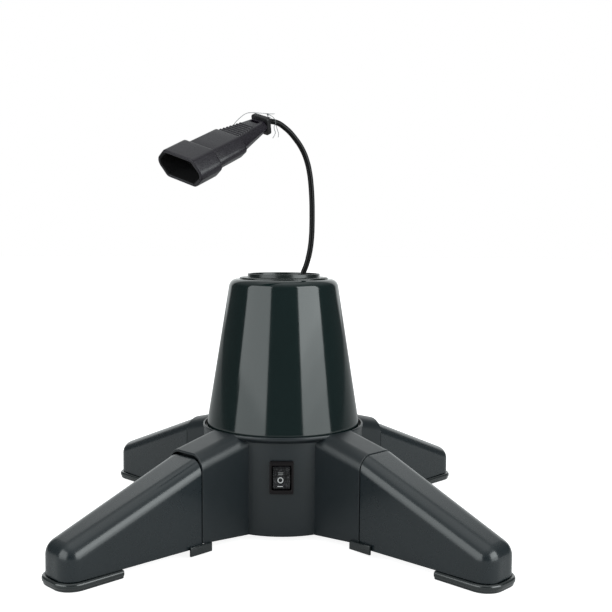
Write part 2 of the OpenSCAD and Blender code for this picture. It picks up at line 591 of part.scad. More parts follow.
// the snap clip under the joint of arm and leg; up is how much higher it sits
module clip(up) difference() {
  translate([78.7, -18.8, 1.4 + up]) cube([16.5, 37.6, 5.65]);
  // round the arm, with room to slide
  translate([70, -arm_hw - 0.3, 3 + up]) cube([14.9, 2*arm_hw + 0.6, 10]);
  // round the leg, whose lower edge stands on the clip's floor
  translate([84.8, -16.95, 5]) cube([20, 33.9, 10]);
  // open below the leg, between the two side tabs
  translate([86.6, -17.35, 0]) cube([20, 34.7, 5.1]);
}

module leg_front_left() color(plastic) rotate(angles[0]) leg(seat_drop);
module leg_front_right() color(plastic) rotate(angles[1]) leg(0);
module leg_rear_left() color(plastic) rotate(angles[2]) leg(1.2, nose_rise);
module leg_rear_right() color(plastic) rotate(angles[3]) leg(seat_drop);
module foot_front_left() color(plastic) rotate(angles[0]) foot();
module foot_front_right() color(plastic) rotate(angles[1]) foot();
module foot_rear_left() color(plastic) rotate(angles[2]) foot();
module foot_rear_right() color(plastic) rotate(angles[3]) foot();
module clip_front_left() color(plastic) rotate(angles[0]) clip(0);
module clip_front_right() color(plastic) rotate(angles[1]) clip(1.5);
module clip_rear_left() color(plastic) rotate(angles[2]) clip(0.8);
module clip_rear_right() color(plastic) rotate(angles[3]) clip(0.8);

hub_housing();
arm_front_left();
arm_front_right();
arm_rear_left();
arm_rear_right();
base_plate();
base_screws();
gear_motor();
motor_screws();
motor_shaft();
motor_pinion();
deck_bush();
lower_race();
bearing_cage();
bearing_balls();
upper_race();
turntable();
turntable_screws();
spindle();
spindle_clip();
drive_gear();
slip_ring_drum();
slip_rings();
brush_holder();
carbon_brushes();
brush_springs();
brush_screws();
switch_body();
switch_rocker();
switch_terminals();
mains_gland();
rotor_cone();
pole_socket();
socket_screws();
inner_lead();
lead_grommet();
lead_cord();
connector_shell();
connector_boot();
connector_contacts();
leg_front_left();
leg_front_right();
leg_rear_left();
leg_rear_right();
foot_front_left();
foot_front_right();
foot_rear_left();
foot_rear_right();
clip_front_left();
clip_front_right();
clip_rear_left();
clip_rear_right();
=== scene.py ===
import math

import bmesh
import bpy
import numpy as np
from mathutils import Matrix, Vector


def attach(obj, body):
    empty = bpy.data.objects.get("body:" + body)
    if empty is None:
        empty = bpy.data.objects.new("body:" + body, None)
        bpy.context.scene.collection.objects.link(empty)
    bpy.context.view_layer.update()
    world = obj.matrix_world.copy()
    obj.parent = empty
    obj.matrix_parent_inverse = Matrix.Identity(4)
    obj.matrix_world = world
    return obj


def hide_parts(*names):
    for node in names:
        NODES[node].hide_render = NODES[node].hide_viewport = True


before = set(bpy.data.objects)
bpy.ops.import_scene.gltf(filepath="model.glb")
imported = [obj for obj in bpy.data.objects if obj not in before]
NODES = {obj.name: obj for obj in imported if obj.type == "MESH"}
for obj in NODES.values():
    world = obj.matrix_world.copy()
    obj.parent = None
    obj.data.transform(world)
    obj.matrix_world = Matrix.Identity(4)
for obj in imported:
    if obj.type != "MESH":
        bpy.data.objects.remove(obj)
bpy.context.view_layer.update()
scene = bpy.context.scene
scene.view_settings.view_transform = "Standard"
scene.view_settings.look = "None"
MM = 0.001
pi = math.pi


# ---------------------------------------------------------------- camera
def make_camera():
    th, pan, roll, yaw = 0.0725, 0.0245, 0.0063, 0.0157
    fwd = Vector((math.sin(pan) * math.cos(th), math.cos(pan) * math.cos(th), -math.sin(th)))
    right = Vector((math.cos(pan), -math.sin(pan), 0))
    up = Vector((math.sin(pan) * math.sin(th), math.cos(pan) * math.sin(th), math.cos(th)))
    cx = right * math.cos(roll) + up * math.sin(roll)
    cy = up * math.cos(roll) - right * math.sin(roll)
    turn = Matrix.Rotation(yaw, 4, "Z")
    m = Matrix((
        (cx.x, cy.x, -fwd.x, 0.0),
        (cx.y, cy.y, -fwd.y, -0.6247),
        (cx.z, cy.z, -fwd.z, 0.19419),
        (0, 0, 0, 1)))
    data = bpy.data.cameras.new("camera")
    data.sensor_width = 36.0
    data.lens = 36.0 * 916.95 / 612.0
    data.clip_start, data.clip_end = 0.02, 60.0
    cam = bpy.data.objects.new("camera", data)
    scene.collection.objects.link(cam)
    cam.matrix_world = turn @ m
    scene.camera = cam


make_camera()


# ---------------------------------------------------------------- node helpers
def new_mat(name):
    m = bpy.data.materials.new(name)
    m.use_nodes = True
    nt = m.node_tree
    bsdf = next(n for n in nt.nodes if n.type == "BSDF_PRINCIPLED")
    return m, nt, bsdf


def ramp(nt, src, stops):
    r = nt.nodes.new("ShaderNodeValToRGB")
    cr = r.color_ramp
    while len(cr.elements) > 1:
        cr.elements.remove(cr.elements[-1])
    cr.elements[0].position = stops[0][0]
    cr.elements[0].color = stops[0][1]
    for p, c in stops[1:]:
        e = cr.elements.new(p)
        e.color = c
    nt.links.new(src, r.inputs[0])
    return r.outputs[0]


def noise(nt, co, scale, detail=2.0, rough=0.5):
    n = nt.nodes.new("ShaderNodeTexNoise")
    n.inputs["Scale"].default_value = scale
    n.inputs["Detail"].default_value = detail
    n.inputs["Roughness"].default_value = rough
    nt.links.new(co, n.inputs["Vector"])
    return n.outputs["Fac"]


def rng(nt, src, a, b, lo=0.0, hi=1.0):
    m = nt.nodes.new("ShaderNodeMapRange")
    m.inputs[1].default_value = lo
    m.inputs[2].default_value = hi
    m.inputs[3].default_value = a
    m.inputs[4].default_value = b
    nt.links.new(src, m.inputs[0])
    return m.outputs[0]


def coords(nt):
    return nt.nodes.new("ShaderNodeTexCoord").outputs["Object"]


def bumped(nt, bsdf, pairs):
    """pairs of (height socket, strength, distance in metres), chained."""
    last = None
    for h, s, d in pairs:
        b = nt.nodes.new("ShaderNodeBump")
        b.inputs["Strength"].default_value = s
        b.inputs["Distance"].default_value = d
        nt.links.new(h, b.inputs["Height"])
        if last is not None:
            nt.links.new(last, b.inputs["Normal"])
        last = b.outputs["Normal"]
    nt.links.new(last, bsdf.inputs["Normal"])


def rgba(c, k=1.0):
    return (c[0] * k, c[1] * k, c[2] * k, 1.0)


def moulded(name, base, rough, spread=0.03, grain=1500, grain_s=0.05, wave_s=0.04, spec=0.5, tone=0.12):
    """Injection-moulded plastic: faint colour drift, uneven gloss, sink waves and a fine grain."""
    m, nt, bsdf = new_mat(name)
    co = coords(nt)
    drift = noise(nt, co, 22, 3.0, 0.55)
    nt.links.new(ramp(nt, drift, [(0.25, rgba(base, 1 - tone)), (0.75, rgba(base, 1 + tone))]), bsdf.inputs["Base Color"])
    haze = noise(nt, co, 160, 4.0, 0.6)
    nt.links.new(rng(nt, haze, rough - spread, rough + spread, 0.3, 0.7), bsdf.inputs["Roughness"])
    fine = noise(nt, co, grain, 2.0, 0.6)
    wave = noise(nt, co, 38, 1.0, 0.4)
    bumped(nt, bsdf, [(wave, wave_s, 0.0012), (fine, grain_s, 0.00008)])
    bsdf.inputs["IOR"].default_value = 1.5
    bsdf.inputs["Specular IOR Level"].default_value = spec
    return m


def metal(name, base, rough, brushed=True):
    m, nt, bsdf = new_mat(name)
    co = coords(nt)
    n1 = noise(nt, co, 90, 4.0, 0.6)
    nt.links.new(ramp(nt, n1, [(0.3, rgba(base, 0.86)), (0.7, rgba(base, 1.06))]), bsdf.inputs["Base Color"])
    n2 = noise(nt, co, 700, 3.0, 0.6)
    nt.links.new(rng(nt, n2, rough - 0.07, rough + 0.09, 0.3, 0.7), bsdf.inputs["Roughness"])
    bumped(nt, bsdf, [(n2, 0.12, 0.00005)])
    bsdf.inputs["Metallic"].default_value = 1.0
    return m


def speckled(name, base, fleck, rough, scale=2600, strength=0.5, amount=0.58, spec=0.5):
    """Spark-textured black plastic with fine light flecks."""
    m, nt, bsdf = new_mat(name)
    co = coords(nt)
    v = noise(nt, co, scale, 1.0, 0.5)
    nt.links.new(ramp(nt, v, [(amount, rgba(base)), (amount + 0.12, rgba(fleck))]), bsdf.inputs["Base Color"])
    nt.links.new(rng(nt, v, rough - 0.06, rough + 0.08, 0.3, 0.7), bsdf.inputs["Roughness"])
    bumped(nt, bsdf, [(v, strength, 0.00012)])
    bsdf.inputs["Specular IOR Level"].default_value = spec
    return m


M = {}
M["cone"] = moulded("cone_abs", (0.0054, 0.0118, 0.0118), 0.10, 0.012, grain=1800, grain_s=0.012, wave_s=0.012, tone=0.08)
M["hub"] = moulded("hub_abs", (0.0094, 0.0134, 0.0160), 0.34, 0.02, grain=2600, grain_s=0.03, wave_s=0.015)
M["leg"] = moulded("leg_abs", (0.0088, 0.0134, 0.0162), 0.28, 0.02, grain=2600, grain_s=0.03, wave_s=0.015, spec=0.42)
M["foot"] = moulded("foot_abs", (0.0060, 0.0096, 0.0104), 0.26, 0.03, grain=1300, grain_s=0.04, wave_s=0.02)
# a thin gloss on the legs and feet
for k, w in (("leg", 0.32), ("foot", 0.7)):
    skin = next(n for n in M[k].node_tree.nodes if n.type == "BSDF_PRINCIPLED")
    skin.inputs["Coat Weight"].default_value = w
    skin.inputs["Coat Roughness"].default_value = 0.10
M["socket"] = moulded("socket_abs", (0.0065, 0.0105, 0.0100), 0.26, 0.03, grain=1400, grain_s=0.04, wave_s=0.02)
M["inner"] = moulded("inner_abs", (0.010, 0.014, 0.0135), 0.45, 0.04)
M["connector"] = speckled("connector_pvc", (0.0058, 0.0040, 0.0078), (0.012, 0.009, 0.015), 0.33, 1900, 0.25, 0.5, 0.42)
# painted shade: the recess's inside is the same PVC, given its own duller copy whose brightness is set to how the
# shaded recess looks
M["recess"] = moulded("connector_inside_painted_shade", (0.0085, 0.0082, 0.0088), 0.6, 0.04, spec=0.12)
M["flange"] = moulded("connector_flange", (0.0060, 0.0056, 0.0066), 0.42, 0.04, grain=1600, grain_s=0.10, spec=0.35)
M["lead"] = moulded("lead_pvc", (0.0016, 0.0016, 0.0018), 0.24, 0.03, grain=900, grain_s=0.08, wave_s=0.02, spec=0.16)
M["rubber"] = moulded("rubber_black", (0.012, 0.012, 0.013), 0.55, 0.05, grain=1200, grain_s=0.15)
M["switch"] = speckled("switch_black", (0.0020, 0.0019, 0.0023), (0.050, 0.049, 0.053), 0.48, 1500, 0.5, 0.53, 0.24)
M["bezel"] = moulded("switch_frame", (0.0048, 0.0033, 0.0039), 0.34, 0.03, grain=2600, grain_s=0.06, spec=0.24)
M["mark"] = moulded("switch_print", (0.46, 0.46, 0.46), 0.5, 0.04, tone=0.04)
M["mark_dim"] = moulded("switch_print_dim", (0.13, 0.13, 0.13), 0.5, 0.04, tone=0.06)
M["steel"] = metal("steel_zinc", (0.56, 0.57, 0.58), 0.30)
M["brass"] = metal("brass_plain", (0.66, 0.47, 0.19), 0.28)
M["acetal"] = moulded("acetal_white", (0.70, 0.69, 0.64), 0.42, 0.04, tone=0.05)
M["insulator"] = moulded("insulator_black", (0.022, 0.022, 0.024), 0.5, 0.05)
M["carbon"] = moulded("carbon_grey", (0.035, 0.035, 0.036), 0.62, 0.06, grain=2600, grain_s=0.4)


def nylon():
    m, nt, bsdf = new_mat("nylon_clear")
    co = coords(nt)
    n = noise(nt, co, 600, 2.0, 0.5)
    nt.links.new(ramp(nt, n, [(0.3, (0.30, 0.31, 0.32, 1)), (0.7, (0.40, 0.41, 0.42, 1))]), bsdf.inputs["Base Color"])
    nt.links.new(rng(nt, n, 0.16, 0.26, 0.3, 0.7), bsdf.inputs["Roughness"])
    bsdf.inputs["Transmission Weight"].default_value = 0.45
    bsdf.inputs["IOR"].default_value = 1.53
    return m


M["nylon"] = nylon()


# ---------------------------------------------------------------- mesh helpers
def make_obj(name, verts, faces, mat, smooth=True, angle=32, world=None):
    """A mesh object from points in millimetres."""
    me = bpy.data.meshes.new(name)
    pts = [Vector(v) * MM for v in verts]
    if world is not None:
        pts = [world @ p for p in pts]
    me.from_pydata([tuple(p) for p in pts], [], faces)
    bm = bmesh.new()
    bm.from_mesh(me)
    bmesh.ops.remove_doubles(bm, verts=bm.verts, dist=1e-7)
    bmesh.ops.recalc_face_normals(bm, faces=bm.faces)
    bm.to_mesh(me)
    bm.free()
    o = bpy.data.objects.new(name, me)
    scene.collection.objects.link(o)
    if mat is not None:
        me.materials.append(mat)
    if smooth:
        shade(o, angle)
    return o


def shade(o, angle=32):
    me = o.data
    for p in me.polygons:
        p.use_smooth = True
    me.set_sharp_from_angle(angle=math.radians(angle))


def bevel(o, width, segments=2, angle=35, weighted=True):
    b = o.modifiers.new("bevel", "BEVEL")
    b.width = width * MM
    b.segments = segments
    b.limit_method = "ANGLE"
    b.angle_limit = math.radians(angle)
    b.use_clamp_overlap = True
    b.harden_normals = False
    if weighted:
        w = o.modifiers.new("weighted", "WEIGHTED_NORMAL")
        w.keep_sharp = True
        w.weight = 80
    return o


def applied(o):
    dg = bpy.context.evaluated_depsgraph_get()
    me = bpy.data.meshes.new_from_object(o.evaluated_get(dg))
    o.modifiers.clear()
    o.data = me
    return o


def boolean(o, other, op="DIFFERENCE", drop=True):
    md = o.modifiers.new("bool", "BOOLEAN")
    md.operation = op
    md.solver = "MANIFOLD"
    md.object = other
    applied(o)
    if drop:
        bpy.data.objects.remove(other)
    return o


def revolve(name, prof, mat, n=256, angle=32, closed=True, smooth=True):
    """Turns a closed outline of (r, z) points about the Z axis."""
    verts, rings = [], []
    for r, z in prof:
        if r < 1e-6:
            rings.append([len(verts)])
            verts.append((0, 0, z))
        else:
            rings.append(list(range(len(verts), len(verts) + n)))
            verts += [(r * math.cos(2 * pi * i / n), r * math.sin(2 * pi * i / n), z) for i in range(n)]
    faces = []
    m = len(prof)
    for k in range(m if closed else m - 1):
        a, b = rings[k], rings[(k + 1) % m]
        if len(a) == 1 and len(b) == 1:
            continue
        for i in range(n):
            j = (i + 1) % n
            if len(a) == 1:
                faces.append((a[0], b[i], b[j]))
            elif len(b) == 1:
                faces.append((a[i], a[j], b[0]))
            else:
                faces.append((a[i], a[j], b[j], b[i]))
    return make_obj(name, verts, faces, mat, smooth, angle)


def loft(name, rings, mat, cap=(True, True), angle=32, world=None, smooth=True):
    """Skins closed rings of the same number of points."""
    n = len(rings[0])
    verts = [p for r in rings for p in r]
    faces = []
    for k in range(len(rings) - 1):
        for i in range(n):
            j = (i + 1) % n
            faces.append((k * n + i, k * n + j, (k + 1) * n + j, (k + 1) * n + i))
    if cap[0]:
        faces.append(tuple(range(n - 1, -1, -1)))
    if cap[1]:
        faces.append(tuple((len(rings) - 1) * n + i for i in range(n)))
    return make_obj(name, verts, faces, mat, smooth, angle, world)


def arc(cx, cy, r, a0, a1, n):
    return [(cx + r * math.cos(math.radians(a0 + (a1 - a0) * i / n)), cy + r * math.sin(math.radians(a0 + (a1 - a0) * i / n))) for i in range(n + 1)]


def round_poly(pts, radii, seg=5):
    """A convex outline with each corner rounded; every corner gets seg + 1 points."""
    out = []
    n = len(pts)
    for i in range(n):
        p, a, b = Vector(pts[i]), Vector(pts[i - 1]), Vector(pts[(i + 1) % n])
        u, v = (a - p).normalized(), (b - p).normalized()
        half = math.acos(max(-1, min(1, u.dot(v)))) / 2
        r = radii[i] if hasattr(radii, "__len__") else radii
        t = r / math.tan(half)
        t = min(t, 0.48 * (a - p).length, 0.48 * (b - p).length)
        r = t * math.tan(half)
        c = p + (u + v).normalized() * (r / math.sin(half))
        s, e = p + u * t, p + v * t
        a0 = math.atan2(s.y - c.y, s.x - c.x)
        a1 = math.atan2(e.y - c.y, e.x - c.x)
        d = (a1 - a0 + pi) % (2 * pi) - pi
        for k in range(seg + 1):
            q = a0 + d * k / seg
            out.append((c.x + r * math.cos(q), c.y + r * math.sin(q)))
    return out


def box_mesh(name, lo, hi, mat, bev=0.0, world=None, segs=2):
    x0, y0, z0 = lo
    x1, y1, z1 = hi
    v = [(x0, y0, z0), (x1, y0, z0), (x1, y1, z0), (x0, y1, z0), (x0, y0, z1), (x1, y0, z1), (x1, y1, z1), (x0, y1, z1)]
    f = [(0, 3, 2, 1), (4, 5, 6, 7), (0, 1, 5, 4), (1, 2, 6, 5), (2, 3, 7, 6), (3, 0, 4, 7)]
    o = make_obj(name, v, f, mat, True, 32, world)
    if bev:
        bevel(o, bev, segs)
        applied(o)
    return o


def joined(name, objs):
    """One object out of several, each part keeping its own closed mesh and material."""
    bm = bmesh.new()
    mats = []
    for o in objs:
        me = o.data
        me.transform(o.matrix_world)
        base = []
        for mt in me.materials:
            if mt not in mats:
                mats.append(mt)
            base.append(mats.index(mt))
        start = len(bm.faces)
        bm.from_mesh(me)
        bm.faces.ensure_lookup_table()
        for f in bm.faces[start:]:
            f.material_index = base[f.material_index] if base else 0
    me = bpy.data.meshes.new(name)
    bm.to_mesh(me)
    bm.free()
    for mt in mats:
        me.materials.append(mt)
    for o in objs:
        bpy.data.objects.remove(o)
    o = bpy.data.objects.new(name, me)
    scene.collection.objects.link(o)
    return o


def place(o, body, slot_name=None, *nodes):
    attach(o, body)
    if nodes:
        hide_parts(*nodes)
    return o


# ---------------------------------------------------------------- the lead
LEAD = [[12.5, -16.8, 162.5], [12.5, -16.8, 168], [13.2, -16.8, 172], [14.9, -16.8, 176.5],
        [16.6, -16.8, 182.5], [17.9, -16.8, 189.5], [18.6, -16.8, 197], [18.8, -16.8, 204],
        [18.8, -16.8, 211], [18.7, -16.8, 217.5], [18.4, -16.8, 224], [17.9, -16.9, 230.5],
        [17, -17, 237.5], [15.3, -17.2, 245], [12.3, -17.7, 252.5], [7.6, -18.6, 259.6],
        [1.4, -20.8, 266], [-5.6, -25.4, 269.6], [-12.4, -31.1, 268.5], [-15.3, -33.9, 266.6],
        [-20.5, -38.8, 263.2], [-25.7, -43.9, 259.8]]


def curve_obj(name, pts, radius, mat, cyclic=False, res=8, ring=8):
    cu = bpy.data.curves.new(name, "CURVE")
    cu.dimensions = "3D"
    cu.bevel_depth = radius * MM
    cu.bevel_resolution = ring
    cu.use_fill_caps = True
    cu.resolution_u = res
    sp = cu.splines.new("BEZIER")
    sp.bezier_points.add(len(pts) - 1)
    for b, p in zip(sp.bezier_points, pts):
        b.co = [x * MM for x in p]
        b.handle_left_type = b.handle_right_type = "AUTO"
    sp.use_cyclic_u = cyclic
    cu.materials.append(mat)
    o = bpy.data.objects.new(name, cu)
    scene.collection.objects.link(o)
    return o


lead = curve_obj("tree_lead", LEAD, 1.8, M["lead"], res=10)
place(lead, "rotor", "lead_black", "lead_cord")

# ---------------------------------------------------------------- connector
CON = Matrix.Translation(Vector((-60.9, -77, 235.7)) * MM) @ (
    Matrix.Rotation(math.radians(43.8), 4, "Z") @ Matrix.Rotation(math.radians(-25.2), 4, "Y") @ Matrix.Rotation(math.radians(19.4), 4, "X"))


def hexa(x, w, f, t, zo=0.0, rt=1.4, rc=1.6, seg=5):
    """Six-sided outline at x of the connector's own frame: tips at +-w, flats +-f wide, half thickness t."""
    ring = round_poly([(w, 0), (f, t), (-f, t), (-w, 0), (-f, -t), (f, -t)], [rt, rc, rc, rt, rc, rc], seg)
    return [(x, p[0], p[1] + zo) for p in ring]


def boot_at(q):
    """Width, flat width, half thickness and rise of the boot, q from the body to the end flange."""
    return 13.9 - 7.0 * q ** 0.85, 9.3 - 4.7 * q, 6.3 - 2.6 * q ** 0.9, 1.3 * q


def connector():
    W, Fl, T = 20.8, 12.3, 9.0
    z = -0.15

    def soft(x, i):
        return hexa(x, W - 1.5 * i, Fl - 0.62 * i, T - i, z, 4.6, 3.8, 7)

    def body(x, i=0.0):
        k = (x - 18) / 24
        return hexa(x, 17.6 - 0.4 * k - 1.4 * i, 10.2 - 0.2 * k - 0.6 * i, 7.3 - 0.2 * k - i, 0, 3.2, 2.6, 7)

    outer = [soft(0, 0.62), soft(0.10, 0.34), soft(0.32, 0.13), soft(0.7, 0.03), soft(1.3, 0.0), soft(6, 0.0), soft(12, 0.0), soft(16.2, 0.0),
             soft(16.8, 0.05), soft(17.2, 0.2), soft(17.45, 0.48), soft(17.6, 0.95), body(17.62, 0.55), body(17.9, 0.18), body(18.5, 0.0),
             body(26), body(34), body(41.0), body(41.5, 0.08), body(41.85, 0.26), body(42.0, 0.6)]
    inner = [hexa(16.2, 17.6, 10.4, 6.75, z, 2.6, 2.0, 7), hexa(15.9, 17.8, 10.55, 6.85, z, 2.6, 2.0, 7), hexa(0.7, 17.95, 10.62, 6.92, z, 2.6, 2.0, 7),
             hexa(0.25, 18.15, 10.7, 7.1, z, 2.8, 2.2, 7), hexa(0, 18.5, 10.9, 7.4, z, 3.0, 2.4, 7)]
    shell = loft("connector_body", inner + outer, M["connector"], (True, True), 40, CON)
    # painted shade: faces inside the recess take the shade-matched copy
    shell.data.materials.append(M["recess"])
    for f in shell.data.polygons:
        c = CON.inverted() @ f.center / MM
        if c.x < 16.4 and abs(c.z - z) < 7.2 and abs(c.y) < 17 and f.normal.dot(CON.to_3x3() @ Vector((0, c.y, c.z - z))) < 1e-6:
            f.material_index = 1
    for s in (-1, 1):
        n = 40
        rings = [[(x, s * 9.3 + 2.4 * math.cos(2 * pi * i / n), 2.4 * math.sin(2 * pi * i / n)) for i in range(n)] for x in (15.2, 36.0)]
        boolean(shell, loft("cut", rings, None, world=CON))
    shade(shell, 40)
    place(shell, "rotor", "rubber_black", "connector_shell")

    parts = []
    rings = []
    for k in range(25):
        q = k / 24
        w, f, h, zo = boot_at(q)
        rings.append(hexa(42.0 + 28.4 * q, w, f, h, zo, 1.6, 1.5, 6))
    core = loft("boot_core", rings, M["connector"], (True, True), 40, CON)
    # the slot across its top beside the flange, and the way in for the lead
    # painted shade: the walls of the slot and of the lead's hole take the shade-matched copy too
    boolean(core, box_mesh("cut", (64.5, -3.5, 3.4), (67.3, 3.5, 9.5), M["recess"], 0, CON))
    n = 32

    def lead_hole():
        return loft("cut", [[(x, 1.86 * math.cos(2 * pi * i / n), 1.3 + 1.86 * math.sin(2 * pi * i / n)) for i in range(n)] for x in (53.0, 75.0)], M["recess"], world=CON)

    boolean(core, lead_hole())
    parts.append(core)
    # fine ribs across its top
    for i in range(7):
        x = 43.0 + 2.5 * i
        q = (x + 0.65 - 42) / 28.4
        w, f, h, zo = boot_at(q)
        f -= 0.55
        n = 7
        sec = [(x - 0.15, zo + h - 0.9)] + [(x + 0.65 + 0.72 * math.cos(a), zo + h + 0.06 + 0.40 * math.sin(a)) for a in np.linspace(pi, 0, n)] + [(x + 1.45, zo + h - 0.9)]
        ring0 = [(px, -f, pz) for px, pz in sec]
        ring1 = [(px, f, pz) for px, pz in sec]
        e0 = [(px, -f - 0.3, zo + h - 0.9 + (pz - (zo + h - 0.9)) * 0.55) for px, pz in sec]
        e1 = [(px, f + 0.3, zo + h - 0.9 + (pz - (zo + h - 0.9)) * 0.55) for px, pz in sec]
        parts.append(loft("rib", [e0, ring0, ring1, e1], M["connector"], (True, True), 60, CON))

    # end flange, a rounded rectangle
    def plate(x, i):
        pts = round_poly([(7 - i, 5.7 - i), (-7 + i, 5.7 - i), (-7 + i, -5.7 + i), (7 - i, -5.7 + i)], 1.5, 6)
        return [(x, p[0], p[1] + 1.3) for p in pts]

    flange = loft("flange", [plate(70.0, 0.35), plate(70.12, 0.1), plate(70.4, 0), plate(72.9, 0), plate(73.18, 0.1), plate(73.3, 0.35)],
                  M["flange"], (True, True), 50, CON)
    boolean(flange, lead_hole())
    parts.append(flange)
    boot = joined("connector_strain_relief", parts)
    shade(boot, 40)
    place(boot, "rotor", "rubber_black", "connector_boot")
    return shell, boot


def tie():
    """A fine clear thread: through the boot's slot side, over the end flange, knotted and once round the lead."""
    w = [CON @ (Vector(p) * MM) / MM for p in ((57.0, 10.2, 0.4), (56.4, 9.3, 3.2), (55.2, 7.3, 5.9))]
    a = [tuple(p) for p in w] + [(-26.2, -43.6, 270.6), (-22.9, -39.8, 273.2), (-19.2, -36.3, 274.1), (-15.4, -33.6, 274.2), (-12.2, -31.9, 274.2), (-9.9, -31.3, 273.7)]
    b = [(-10.9, -31.6, 274.35), (-10.2, -31.4, 274.1), (-9.4, -31.2, 273.5), (-7.2, -30.3, 272.4), (-5.5, -29.3, 270.2), (-5.2, -28.6, 267.9), (-6.1, -28.8, 266.4),
         (-5.9, -29.6, 264.4), (-5.3, -30.2, 262.4), (-5.9, -30.6, 260.5), (-7.0, -30.8, 258.7)]
    c = [(-5.9, -30.3, 274.2), (-7.6, -30.8, 274.1), (-9.5, -30.9, 273.8), (-10.3, -29.4, 272.9), (-8.8, -26.2, 272.3), (-6.6, -24.0, 270.6), (-5.0, -23.6, 268.2), (-4.6, -25.4, 266.5),
         (-4.4, -27.9, 265.4), (-3.9, -29.2, 263.8), (-3.3, -29.8, 261.8), (-3.5, -30.1, 259.4)]
    for i, pts in enumerate((a, b, c)):
        place(curve_obj("tie_thread_%d" % (i + 1), pts, 0.21, M["nylon"], res=6, ring=2), "rotor")
    knot = []
    for i in range(9):
        q = 2 * pi * i / 9
        knot.append((-9.9 + 0.55 * math.cos(q), -31.2 + 0.5 * math.sin(2 * q), 273.65 + 0.45 * math.sin(q)))
    place(curve_obj("tie_knot", knot, 0.24, M["nylon"], True, 4, 2), "rotor")


shell, boot = connector()
for n in ("connector_contacts",):
    NODES[n].data.materials.clear()
    NODES[n].data.materials.append(M["brass"])


tie()


# ---------------------------------------------------------------- cone, socket, grommet
def cone_r(z):
    return 52.0 - (z - 69.0) * (52.0 - 38.3) / 86.0


def cone():
    out = [(cone_r(68.0) - 0.45, 68.0), (cone_r(68.0) - 0.12, 68.12), (cone_r(68.4), 68.4)]
    out += [(cone_r(z), z) for z in np.linspace(71, 160.5, 24)]
    cr, cz = cone_r(162) - 5.5, 161.9
    out += [(cr + 5.5 * math.cos(math.radians(a)), cz + 5.5 * math.sin(math.radians(a))) for a in np.linspace(8.0, 90.0, 18)]
    out += [(r, 167.4) for r in (31, 28, 24.6)]
    inn = [(24.6, 164.9), (28, 164.9), (cr, 164.9)]
    inn += [(cr + 3.0 * math.cos(math.radians(a)), cz + 3.0 * math.sin(math.radians(a))) for a in np.linspace(80, 12, 8)]
    inn += [(cone_r(z) - 2.5, z) for z in (150, 120, 95, 72)]
    inn += [(cone_r(68) - 2.5, 68.3), (cone_r(68) - 2.3, 68.0)]
    o = revolve("cone_shell", out + inn, M["cone"], 288, 40)
    place(o, "rotor", "cone_plastic", "rotor_cone")


def pole_socket():
    p = [(16.0, 82.3), (16.0, 165.0), (16.35, 165.75), (17.0, 166.0), (22.6, 166.0), (23.05, 166.15), (23.2, 166.6), (23.3, 170.5),
         (23.42, 170.85), (23.7, 171.0), (24.15, 171.0), (24.4, 170.85), (24.5, 170.5), (24.5, 169.0), (24.65, 168.65), (25.0, 168.5),
         (29.4, 168.5), (29.8, 168.38), (30.0, 168.05), (30.0, 167.4), (24.5, 167.4), (24.5, 163.4), (17.8, 163.4), (17.8, 80.0), (19.8, 80.0), (19.8, 76.8), (11.5, 76.8),
         (11.5, 80.2), (0, 80.2), (0, 82.3)]
    o = revolve("pole_socket_shell", p, M["socket"], 192, 40)
    n = 48
    rings = [[(12.5 + 3.22 * math.cos(2 * pi * i / n), -16.8 + 3.22 * math.sin(2 * pi * i / n), z) for i in range(n)] for z in (150.0, 180.0)]
    boolean(o, loft("cut", rings, None))
    # way out for the lead under the floor
    boolean(o, box_mesh("cut", (0, -2.2, 75.0), (30, 2.2, 80.8), None, 0, Matrix.Rotation(math.radians(-53.4), 4, "Z")))
    shade(o, 40)
    place(o, "rotor", "cone_plastic", "pole_socket")


def grommet():
    prof = [(1.85, 162.4), (1.85, 171.0), (2.1, 171.35), (2.6, 171.4), (3.0, 171.15), (3.2, 170.7), (3.2, 170.1), (2.95, 169.8), (2.95, 169.4),
            (3.3, 169.1), (3.45, 168.7), (3.3, 168.3), (3.0, 168.0), (3.15, 167.6), (3.2, 167.0), (3.2, 162.4)]
    o = revolve("lead_grommet_ring", [(r, z) for r, z in prof], M["rubber"], 48, 50)
    o.data.transform(Matrix.Translation((0.0125, -0.0168, 0)))
    place(o, "rotor", "rubber_black", "lead_grommet")


cone()
pole_socket()
grommet()


# ---------------------------------------------------------------- hub with arms
ARM_S, ARM_TOP, HW = 84.7, 61.8, 17.0
T14 = math.tan(math.radians(14))


def arm_ring(s, inset, z_bot, z_top_edge, r=10.0, seg=14):
    """Upside-down U at distance s: flat sides, rounded top edges."""
    w = HW - inset
    rr = max(r - inset, 0.3)
    top = z_top_edge - inset
    pts = [(s, w, z_bot)]
    pts += [(s, w - rr + rr * math.cos(math.radians(a)), top - rr + rr * math.sin(math.radians(a))) for a in np.linspace(0, 90, seg)]
    pts += [(s, -(w - rr) - rr * math.sin(math.radians(a)), top - rr + rr * math.cos(math.radians(a))) for a in np.linspace(0, 90, seg)]
    pts += [(s, -w, z_bot)]
    return pts


def arm_solid(name, inset=0.0, s0=44.0, s1=ARM_S, low=0.0, edge=0.35):
    rings = []
    stations = list(np.linspace(s0, s1 - edge, 10))
    for s in stations:
        zb = 4.0 + max(0.0, (s - 46.0)) * 3.0 / 38.7 + low
        rings.append(arm_ring(s, inset, zb, ARM_TOP + (ARM_S - s) * T14))
    for q in (0.35, 0.75, 1.0):
        if edge <= 0:
            break
        a = q * pi / 2
        s = s1 - edge + edge * math.sin(a)
        i = edge * (1 - math.cos(a))
        zb = 4.0 + max(0.0, (s - 46.0)) * 3.0 / 38.7 + low
        rings.append(arm_ring(s, inset + i, zb, ARM_TOP + (ARM_S - s) * T14))
    return loft(name, rings, M["hub"], (True, True), 40)


ANGLES = {"front_left": 225, "front_right": 315, "rear_left": 135, "rear_right": 45}


def turned(o, deg):
    o.data.transform(Matrix.Rotation(math.radians(deg), 4, "Z"))
    return o


